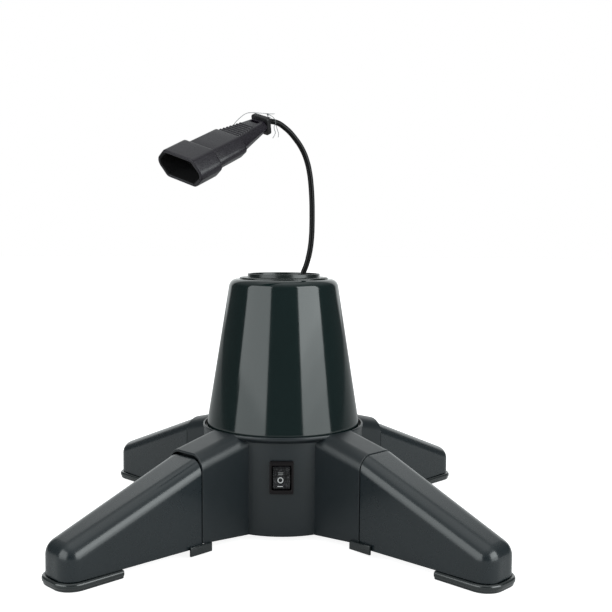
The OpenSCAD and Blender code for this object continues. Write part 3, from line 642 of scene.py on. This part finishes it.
def hub():
    prof = [(8.0, 66.5), (53.4, 66.5), (53.4, 68.6), (53.55, 69.05), (53.95, 69.3), (54.35, 69.25), (54.65, 68.95), (54.8, 68.5),
            (54.8, 67.5), (54.68, 67.15), (54.35, 66.85), (53.9, 66.5), (50.6, 64.95), (50.15, 64.65), (50.0, 64.2), (50.0, 4.5), (49.85, 4.15), (49.5, 4.0),
            (47.5, 4.0), (47.5, 64.0), (11.0, 64.0), (11.0, 58.0), (8.0, 58.0)]
    o = revolve("hub_shell", prof, M["hub"], 240, 40)
    # thicker wall under the rim, except on the front between the arms
    ring = revolve("ring", [(48.6, 55.6), (50.0, 55.6), (53.9, 57.2), (54.2, 57.6), (54.2, 67.2), (48.6, 67.2)], M["hub"], 240, 40)
    wedge = loft("cut", [[(0, 0, z), (-90, -90, z), (90, -90, z)] for z in (50, 80)], None)
    boolean(ring, wedge)
    boolean(o, ring, "UNION")
    # arms, each cut back where the inside and the cone are
    for k, a in ANGLES.items():
        arm = turned(arm_solid("arm"), a)
        boolean(arm, revolve("cut", [(0, 0), (47.55, 0), (47.55, 66.51), (53.395, 66.51), (53.395, 69.32), (54.82, 69.32), (54.82, 90), (0, 90)], None, 240))
        boolean(o, arm, "UNION")
    # room for the cone, the legs' tongues and the inside
    boolean(o, revolve("cut", [(0, 66.51), (53.395, 66.51), (53.395, 69.32), (54.82, 69.32), (54.82, 90), (0, 90)], None, 240))
    boolean(o, revolve("cut", [(0, 0), (47.5, 0), (47.5, 58.0), (0, 58.0)], None, 240))
    for k, a in ANGLES.items():
        boolean(o, turned(box_mesh("cut", (52.6, -14.7, -1), (79.0, 14.7, 56.3), None), a))
        boolean(o, turned(arm_solid("cut", 1.35, 78.8, 90.0, -3.0, 0), a))
    # flat for the switch, its opening and the gland's hole
    boolean(o, box_mesh("pad", (-7.2, -50.35, 32.8), (7.2, -46.5, 53.2), M["hub"]), "UNION")
    boolean(o, box_mesh("cut", (-6.95, -60, 33.4), (6.95, -40, 52.6), None))
    n = 48
    for r, y0 in ((5.0, 40.0), (7.2, 49.5)):
        rings = [[(r * math.cos(2 * pi * i / n), y, 16 + r * math.sin(2 * pi * i / n)) for i in range(n)] for y in (y0, 60.0)]
        boolean(o, loft("cut", rings, None))
    # slivers left by the cuts
    bm = bmesh.new()
    bm.from_mesh(o.data)
    bmesh.ops.remove_doubles(bm, verts=bm.verts, dist=2e-6)
    bmesh.ops.dissolve_degenerate(bm, dist=2e-6, edges=bm.edges)
    bmesh.ops.recalc_face_normals(bm, faces=bm.faces)
    bm.to_mesh(o.data)
    bm.free()
    shade(o, 30)
    w = o.modifiers.new("weighted", "WEIGHTED_NORMAL")
    w.keep_sharp = True
    place(o, "base", "hub_plastic", "hub_housing", "arm_front_left", "arm_front_right", "arm_rear_left", "arm_rear_right")


hub()


# ---------------------------------------------------------------- legs
LEG_S0 = 85.25


def leg_skin(drop, off, s_end, rise=0.0):
    """Columns of points round the leg from one side over the nose to the other; off shrinks it."""
    nz, na, nc, nf = 4, 14, 9, 5
    nose = 16.3 + rise
    fall = 57.9 - drop - nose
    beta = math.atan2(fall, 98.2) - math.asin(1 / math.hypot(98.2, fall))
    top = Vector((math.sin(beta), 0, math.cos(beta)))
    side_n = Vector((0.02596, 0.99966, 0))

    def between(u, k):
        ang = u.angle(top)
        return (u * math.sin((1 - k) * ang) + top * math.sin(k * ang)) / math.sin(ang)

    def line(s):
        q = (s - 70.0) / 98.2
        return 8.15 - 3.55 * q, 57.9 - drop - fall * q, 9.0 + q

    def on_side(n, q):
        """The point with this normal, q of the way from the cut end to the nose."""
        s = s_end + q * (168.2 + (10 - off) * n.x - s_end)
        r = 10.0
        for _ in range(5):
            y, z, r = line(s - (r - off) * n.x)
        return (s, y + (r - off) * n.y, z + (r - off) * n.z), z

    def column(point, zc, arc_pts):
        return [(point[0], point[1], 5.0 + (zc - 5.0) * i / nz) for i in range(nz)] + arc_pts

    side = []
    ns = 30
    for q in np.linspace(0, 1, ns):
        p, zc = on_side(side_n, q)
        side.append(column(p, zc, [on_side(between(side_n, i / na), q)[0] for i in range(na + 1)]))
    c = Vector((168.2, 4.6, nose))
    a0 = math.asin(side_n.x)
    corner = []
    for i in range(1, nc + 1):
        a = a0 + (pi / 2 - a0) * i / nc
        u = Vector((math.sin(a), math.cos(a), 0))
        pts = [tuple(c + (10 - off) * between(u, k / na)) for k in range(na + 1)]
        corner.append(column(pts[0], nose, pts))
    left = side + corner
    front = []
    for i in range(1, nf):
        dy = Vector((0, -9.2 * i / nf, 0))
        pts = [tuple(c + dy + (10 - off) * between(Vector((1, 0, 0)), k / na)) for k in range(na + 1)]
        front.append(column(pts[0], nose, pts))
    right = [[(x, -y, z) for x, y, z in col] for col in reversed(left)]
    return left + front + right, ns, nf, nz


def leg(key, drop, rise=0.0):
    deg = ANGLES[key]
    body = "leg_" + key

    def shell(off, s_end):
        cols, ns, nf, nz = leg_skin(drop, off, s_end, rise)
        m = len(cols[0])
        verts = [p for c in cols for p in c]
        faces = []
        for k in range(len(cols) - 1):
            for i in range(m - 1):
                faces.append((k * m + i, (k + 1) * m + i, (k + 1) * m + i + 1, k * m + i + 1))
        # the top, in strips across
        grid = []
        last = len(cols) - 1
        for j in range(ns):
            a, b = verts[j * m + m - 1], verts[(last - j) * m + m - 1]
            row = [j * m + m - 1]
            for i in range(1, nf):
                if j == ns - 1:
                    row.append((ns - 1 + 9 + i) * m + m - 1)
                else:
                    row.append(len(verts))
                    q = i / nf
                    verts.append((a[0] + (b[0] - a[0]) * q, a[1] + (b[1] - a[1]) * q, a[2] + (b[2] - a[2]) * q))
            row.append((last - j) * m + m - 1)
            grid.append(row)
        for j in range(ns - 1):
            for i in range(nf):
                faces.append((grid[j][i], grid[j][i + 1], grid[j + 1][i + 1], grid[j + 1][i]))
        end = [i for i in range(m)] + grid[0][1:-1] + [last * m + i for i in range(m - 1, -1, -1)]
        foot = [k * m for k in range(len(cols))]
        return verts, faces, end, foot

    vo, fo, eo, bo = shell(0.0, LEG_S0)
    vi, fi, ei, bi = shell(2.3, LEG_S0 + 2.2)
    off = len(vo)
    verts = vo + vi
    faces = fo + [tuple(off + i for i in reversed(f)) for f in fi]
    faces.append(tuple(eo))
    faces.append(tuple(off + i for i in ei))
    for k in range(len(bo) - 1):
        faces.append((bo[k], bo[k + 1], off + bi[k + 1], off + bi[k]))
    faces.append((bo[0], off + bi[0], off + bi[-1], bo[-1]))
    skin = make_obj("skin", verts, faces, M["leg"], True, 40)
    bevel(skin, 0.32, 2, 60, False)
    applied(skin)
    shade(skin, 40)
    # tongue that goes into the arm, a hollow tube open below
    tongue = box_mesh("tongue", (60, -14.4, 5.6), (LEG_S0 + 0.4, 14.4, 55.8), M["leg"], 0.6)
    hollow = box_mesh("cut", (62.4, -12, 0), (LEG_S0 + 10, 12, 53.4), None)
    boolean(tongue, hollow)
    shade(tongue, 40)
    o = joined("leg_shell_" + key, [skin, tongue])
    turned(o, deg)
    w = o.modifiers.new("weighted", "WEIGHTED_NORMAL")
    w.keep_sharp = True
    place(o, body, "leg_plastic", "leg_" + key)

    # foot plate with a rounded bead
    def outline(o_, z):
        w, r, s1 = 16.9 + o_, 12.5 + o_, 180.4 + o_
        pts = [(142.0, -w, z)] + [(s, -w, z) for s in (150.0, 159.0)]
        pts += [(s1 - r + r * math.sin(a), -(w - r) - r * math.cos(a), z) for a in np.linspace(0, pi / 2, 14)]
        pts += [(s1, y, z) for y in (-1.5, 1.5)]
        pts += [(s1 - r + r * math.cos(a), (w - r) + r * math.sin(a), z) for a in np.linspace(0, pi / 2, 14)]
        pts += [(s, w, z) for s in (159.0, 150.0)] + [(142.0, w, z)]
        return pts

    sect = [(-3.2, 4.5), (-2.1, 4.5), (-1.9, 4.6), (-1.7, 4.85), (-1.5, 5.0)]
    sect += [(-1.5 + 1.5 * math.sin(a), 3.5 + 1.5 * math.cos(a)) for a in np.radians((9, 18, 27, 36, 45, 54, 63, 72, 81))]
    sect += [(0.0, 3.45), (0.0, 2.6), (-0.08, 2.2), (-0.3, 1.9), (-0.62, 1.5), (-0.7, 1.0), (-0.85, 0.35), (-1.2, 0.0)]
    rings = [outline(a, b) for a, b in sect]
    plate = loft("plate", rings, M["foot"], (True, True), 50)
    plug = box_mesh("plug", (145.5, -11.4, 3.5), (173.5, 11.4, 9.0), M["foot"], 0.4)
    f = joined("foot_plate_" + key, [plate, plug])
    turned(f, deg)
    place(f, body, "foot_plastic", "foot_" + key)

    up = {"front_left": 0.0, "front_right": 1.5}.get(key, 0.8)
    parts = []
    for s in (-1, 1):
        # outer tab
        z0, z1 = 1.4 + up, 7.05 + up
        sec = [(17.32, z0 + 0.1), (17.42, z0), (18.5, z0), (18.72, z0 + 0.12), (18.8, z0 + 0.35), (18.8, z1 - 0.3), (18.73, z1 - 0.1), (18.55, z1), (17.4, z1), (17.32, z1 - 0.08)]
        rings = []
        for x, i in ((78.7, 0.25), (78.8, 0.08), (79.05, 0), (94.85, 0), (95.1, 0.08), (95.2, 0.25)):
            ym, zm = 18.05, (z0 + z1) / 2
            rings.append([(x, s * (ym + (y - ym) * (1 - i * 0.6)), zm + (z - zm) * (1 - i * 0.14)) for y, z in sec])
        parts.append(loft("side", rings, M["foot"], (True, True), 40))
        y0, y1 = (16.97, 17.6) if s > 0 else (-17.6, -16.97)
        parts.append(box_mesh("lip", (85.2, y0, 5.1 + up * 0.5), (94.9, y1, 6.6 + up), M["foot"], 0.2, None, 2))
        # small rib behind the tab, in the foot of the seam
        y0, y1 = (14.5, 16.9) if s > 0 else (-16.9, -14.5)
        parts.append(box_mesh("rib", (84.78, y0, 4.6), (85.5, y1, 6.95), M["foot"], 0.08, None, 1))
    parts.append(box_mesh("floor", (78.9, -17.6, 1.4 + up), (86.6, 17.6, 2.98 + up), M["foot"], 0.3, None, 2))
    parts.append(box_mesh("web", (85.3, -17.4, 2.5 + up), (86.6, 17.4, 4.98), M["foot"], 0.1, None, 1))
    c = joined("snap_clip_" + key, parts)
    turned(c, deg)
    place(c, body, "foot_plastic", "clip_" + key)


for key, drop, rise in (("front_left", 2.8, 0.0), ("front_right", 0.0, 0.0), ("rear_left", 1.2, 3.5), ("rear_right", 2.8, 0.0)):
    leg(key, drop, rise)


# ---------------------------------------------------------------- switch
def switch():
    y0 = -52.2
    n = 6

    def rect(hx, hz, r, y, zc=43.0):
        return [(p[0], y, zc + p[1]) for p in round_poly([(hx, -hz), (hx, hz), (-hx, hz), (-hx, -hz)], r, n)]

    rings = [rect(6.1, 7.8, 0.4, -43.2), rect(6.1, 7.8, 0.4, y0 + 0.8), rect(6.16, 7.86, 0.45, y0 + 0.2), rect(6.35, 8.05, 0.5, y0),
             rect(7.35, 10.25, 0.6, y0), rect(7.6, 10.5, 0.7, y0 + 0.1), rect(7.7, 10.6, 0.8, y0 + 0.4), rect(7.7, 10.6, 0.8, y0 + 1.8),
             rect(6.9, 9.5, 0.3, y0 + 1.8), rect(6.9, 9.5, 0.3, -30.0)]
    o = loft("switch_frame", rings, M["bezel"], (True, True), 40)
    place(o, "base", "switch_black", "switch_body")

    # rocker, its front face hollowed a little
    def prof(k):
        pts = []
        r = 7.5
        front = [(-3.98, 6.34), (-4.10, 6.18), (-4.12, 5.9), (-3.98, 5.2), (-3.80, 4.2), (-3.62, 3.0), (-3.48, 1.5), (-3.42, 0.0)]
        front = front + [(a, -b) for a, b in reversed(front[:-1])]
        pts += [(a + k, b * (1 - 0.02 * k)) for a, b in front]
        pts += [(r * math.cos(a), r * math.sin(a)) for a in np.radians(np.linspace(240, 256, 5))]
        pts += [(-1.0, -7.4), (1.2, -5), (3, -1.6), (3, 1.6), (1.2, 5), (-1.0, 7.4)]
        pts += [(r * math.cos(a), r * math.sin(a)) for a in np.radians(np.linspace(104, 120, 5))]
        return pts

    xs = [(-5.4, 0.42), (-5.3, 0.14), (-5.05, 0.0), (5.05, 0.0), (5.3, 0.14), (5.4, 0.42)]
    rings = []
    for x, k in xs:
        rings.append([(x, -49.6 + a, 43.0 + b) for a, b in prof(k)])
    r_ = loft("rocker_cap", rings, M["switch"], (True, True), 40)
    m = 32
    pin = loft("pin", [[(x, -49.6 + 1.2 * math.cos(2 * pi * i / m), 43.0 + 1.2 * math.sin(2 * pi * i / m)) for i in range(m)] for x in (-6.7, 6.7)], M["switch"], (True, True), 40)
    cap = joined("switch_rocker_cap", [r_, pin])
    place(cap, "rocker", "switch_black", "switch_rocker")

    # printed marks: two bars, a ring, one bar
    def face_y(z):
        zz = [0, 1.5, 3.0, 4.2, 5.2, 5.9, 6.18, 6.34]
        yy = [-3.42, -3.48, -3.62, -3.80, -3.98, -4.12, -4.10, -3.98]
        z = abs(z)
        return float(np.interp(z, zz, yy))

    def mark(name, outer, inner, mat):
        """A thin closed plate on the rocker's face; outer and inner are loops of (x, z)."""
        v, f = [], []
        k = len(outer)
        for lift in (-0.08, 0.05):
            for loop in (outer, inner):
                v += [(x, -49.6 + face_y(z) - lift, 43.0 + z) for x, z in loop]
        for i in range(k):
            j = (i + 1) % k
            f += [(i, j, k + j, k + i), (2 * k + i, 3 * k + i, 3 * k + j, 2 * k + j), (i, 2 * k + i, 2 * k + j, j), (k + i, k + j, 3 * k + j, 3 * k + i)]
        return make_obj(name, v, f, mat, True, 40)

    marks = []
    n_ = 40
    ring_o = [(-0.68 + 1.85 * math.cos(2 * pi * i / n_), -1.12 + 1.9 * math.sin(2 * pi * i / n_)) for i in range(n_)]
    ring_i = [(-0.68 + 1.26 * math.cos(2 * pi * i / n_), -1.12 + 1.30 * math.sin(2 * pi * i / n_)) for i in range(n_)]
    marks.append(mark("ring", ring_o, ring_i, M["mark"]))

    def plate(xc, zc, hx, hz, mat):
        v, f = [], []
        out = [(x + xc, z) for x, z in round_poly([(hx, zc - hz), (hx, zc + hz), (-hx, zc + hz), (-hx, zc - hz)], hz * 0.4, 3)]
        k = len(out)
        for lift in (-0.08, 0.05):
            v += [(x, -49.6 + face_y(z) - lift, 43.0 + z) for x, z in out]
        for i in range(k):
            j = (i + 1) % k
            f.append((i, j, k + j, k + i))
        f += [tuple(range(k - 1, -1, -1)), tuple(range(k, 2 * k))]
        return make_obj("bar", v, f, mat, True, 40)

    marks.append(plate(-0.8, -5.0, 1.7, 0.24, M["mark"]))
    marks.append(plate(-0.5, 3.72, 1.6, 0.36, M["mark_dim"]))
    marks.append(plate(-0.5, 2.62, 1.6, 0.36, M["mark_dim"]))
    mk = joined("switch_marks", marks)
    place(mk, "rocker")


switch()

# ---------------------------------------------------------------- finishes of the carried-over nodes
FINISH = {
    "steel": ["base_screws", "gear_motor", "motor_screws", "motor_shaft", "lower_race", "bearing_balls", "upper_race", "turntable_screws",
              "socket_screws", "spindle", "spindle_clip", "brush_springs", "brush_screws"],
    "brass": ["deck_bush", "bearing_cage", "slip_rings", "switch_terminals", "connector_contacts"],
    "acetal": ["motor_pinion", "drive_gear"],
    "insulator": ["slip_ring_drum", "brush_holder"],
    "carbon": ["carbon_brushes"],
    "rubber": ["mains_gland"],
    "lead": ["inner_lead"],
    "inner": ["base_plate", "turntable"],
}
for k, names in FINISH.items():
    for n in names:
        me = NODES[n].data
        me.materials.clear()
        me.materials.append(M[k])

# ---------------------------------------------------------------- room and light
def area(name, loc, target, size, power, color=(1, 1, 1), spread=None):
    d = bpy.data.lights.new(name, "AREA")
    d.shape = "RECTANGLE"
    d.size, d.size_y = size
    d.energy = power
    d.color = color
    if spread is not None:
        d.spread = math.radians(spread)
    o = bpy.data.objects.new(name, d)
    scene.collection.objects.link(o)
    o.location = loc
    v = Vector(target) - Vector(loc)
    o.rotation_mode = "QUATERNION"
    o.rotation_quaternion = v.to_track_quat("-Z", "Y")
    return o


def polar(az, el, dist):
    """az 0 is in front of the object, on the camera's side, and turns to the right; el above the horizon."""
    a, e = math.radians(az), math.radians(el)
    return (dist * math.sin(a) * math.cos(e), -dist * math.cos(a) * math.cos(e), 0.12 + dist * math.sin(e))


def radiance(size, value):
    """Power of a rectangular lamp that shows this brightness."""
    return value * math.pi * size[0] * size[1]


def panel(name, az, size, lo, hi, value, tint, dist=1.25):
    """An upright soft box between two heights above the middle of the object."""
    a = math.radians(az)
    s = (size, hi - lo)
    mid = 0.12 + (lo + hi) / 2
    area(name, (dist * math.sin(a), -dist * math.cos(a), mid), (0, 0, mid), s, radiance(s, value), tint)


def lights():
    tint = (0.94, 1.0, 1.0)
    panel("left_low", -49, 1.14, -0.35, 0.11, 2.2, tint)
    panel("left_high", -51, 1.24, 0.11, 0.95, 2.95, tint)
    panel("right_low", 52.3, 1.02, -0.35, 0.09, 2.8, tint)
    panel("right_mid", 52.9, 1.05, 0.09, 0.165, 3.3, tint)
    panel("right_upper", 53.4, 1.07, 0.165, 0.225, 3.9, tint)
    panel("right_high", 53.8, 1.09, 0.225, 0.95, 4.9, tint)


lights()

world = bpy.data.worlds.new("studio")
scene.world = world
world.use_nodes = True
nt = world.node_tree
for n in list(nt.nodes):
    nt.nodes.remove(n)
out = nt.nodes.new("ShaderNodeOutputWorld")
tex = nt.nodes.new("ShaderNodeTexCoord")
sep = nt.nodes.new("ShaderNodeSeparateXYZ")
nt.links.new(tex.outputs["Generated"], sep.inputs[0])


def grey(v):
    return (v, v, v, 1)


# brightness by direction: dim at the front, white from well behind the sides, bright overhead
wider = ramp(nt, rng(nt, sep.outputs["Z"], 0, 1, -1, 1), [(0.45, grey(0.0)), (0.52, grey(0.17)), (0.80, grey(0.26)), (0.85, grey(0.275))])
back = nt.nodes.new("ShaderNodeMath")
back.operation = "ADD"
nt.links.new(wider, back.inputs[0])
nt.links.new(sep.outputs["Y"], back.inputs[1])
behind = ramp(nt, rng(nt, back.outputs[0], 0, 1, -1, 1), [(0.0, grey(0.13)), (0.10, grey(0.13)), (0.22, grey(0.10)), (0.60, grey(0.10)), (0.95, grey(0.09)), (0.985, grey(1.0))])
above = ramp(nt, sep.outputs["Z"], [(0.20, grey(0.0)), (0.50, grey(0.11)), (0.82, grey(0.27)), (0.97, grey(0.60))])
twice = nt.nodes.new("ShaderNodeMath")
twice.operation = "MULTIPLY"
twice.inputs[1].default_value = 2.0
nt.links.new(above, twice.inputs[0])
most = nt.nodes.new("ShaderNodeMath")
most.operation = "MAXIMUM"
nt.links.new(behind, most.inputs[0])
nt.links.new(twice.outputs[0], most.inputs[1])
room = nt.nodes.new("ShaderNodeBackground")
room.inputs[0].default_value = (0.96, 1, 1, 1)
nt.links.new(most.outputs[0], room.inputs[1])
seen = nt.nodes.new("ShaderNodeBackground")
seen.inputs[0].default_value = (1, 1, 1, 1)
seen.inputs[1].default_value = 1.0
path = nt.nodes.new("ShaderNodeLightPath")
mixs = nt.nodes.new("ShaderNodeMixShader")
nt.links.new(path.outputs["Is Camera Ray"], mixs.inputs[0])
nt.links.new(room.outputs[0], mixs.inputs[1])
nt.links.new(seen.outputs[0], mixs.inputs[2])
nt.links.new(mixs.outputs[0], out.inputs[0])

# pale floor
fm, fnt, fb = new_mat("floor_pale")
fb.inputs["Base Color"].default_value = (0.56, 0.56, 0.56, 1)
fb.inputs["Roughness"].default_value = 0.9
fb.inputs["Specular IOR Level"].default_value = 0.1
fb.inputs["Emission Color"].default_value = (1, 1, 1, 1)
fpath = fnt.nodes.new("ShaderNodeLightPath")
fnt.links.new(rng(fnt, fpath.outputs["Is Camera Ray"], 0.02, 0.9), fb.inputs["Emission Strength"])
me = bpy.data.meshes.new("floor")
R = 9.0
me.from_pydata([(R * math.cos(2 * pi * i / 64), R * math.sin(2 * pi * i / 64), -0.0004) for i in range(64)], [], [tuple(range(64))])
me.materials.append(fm)
floor = bpy.data.objects.new("floor", me)
scene.collection.objects.link(floor)
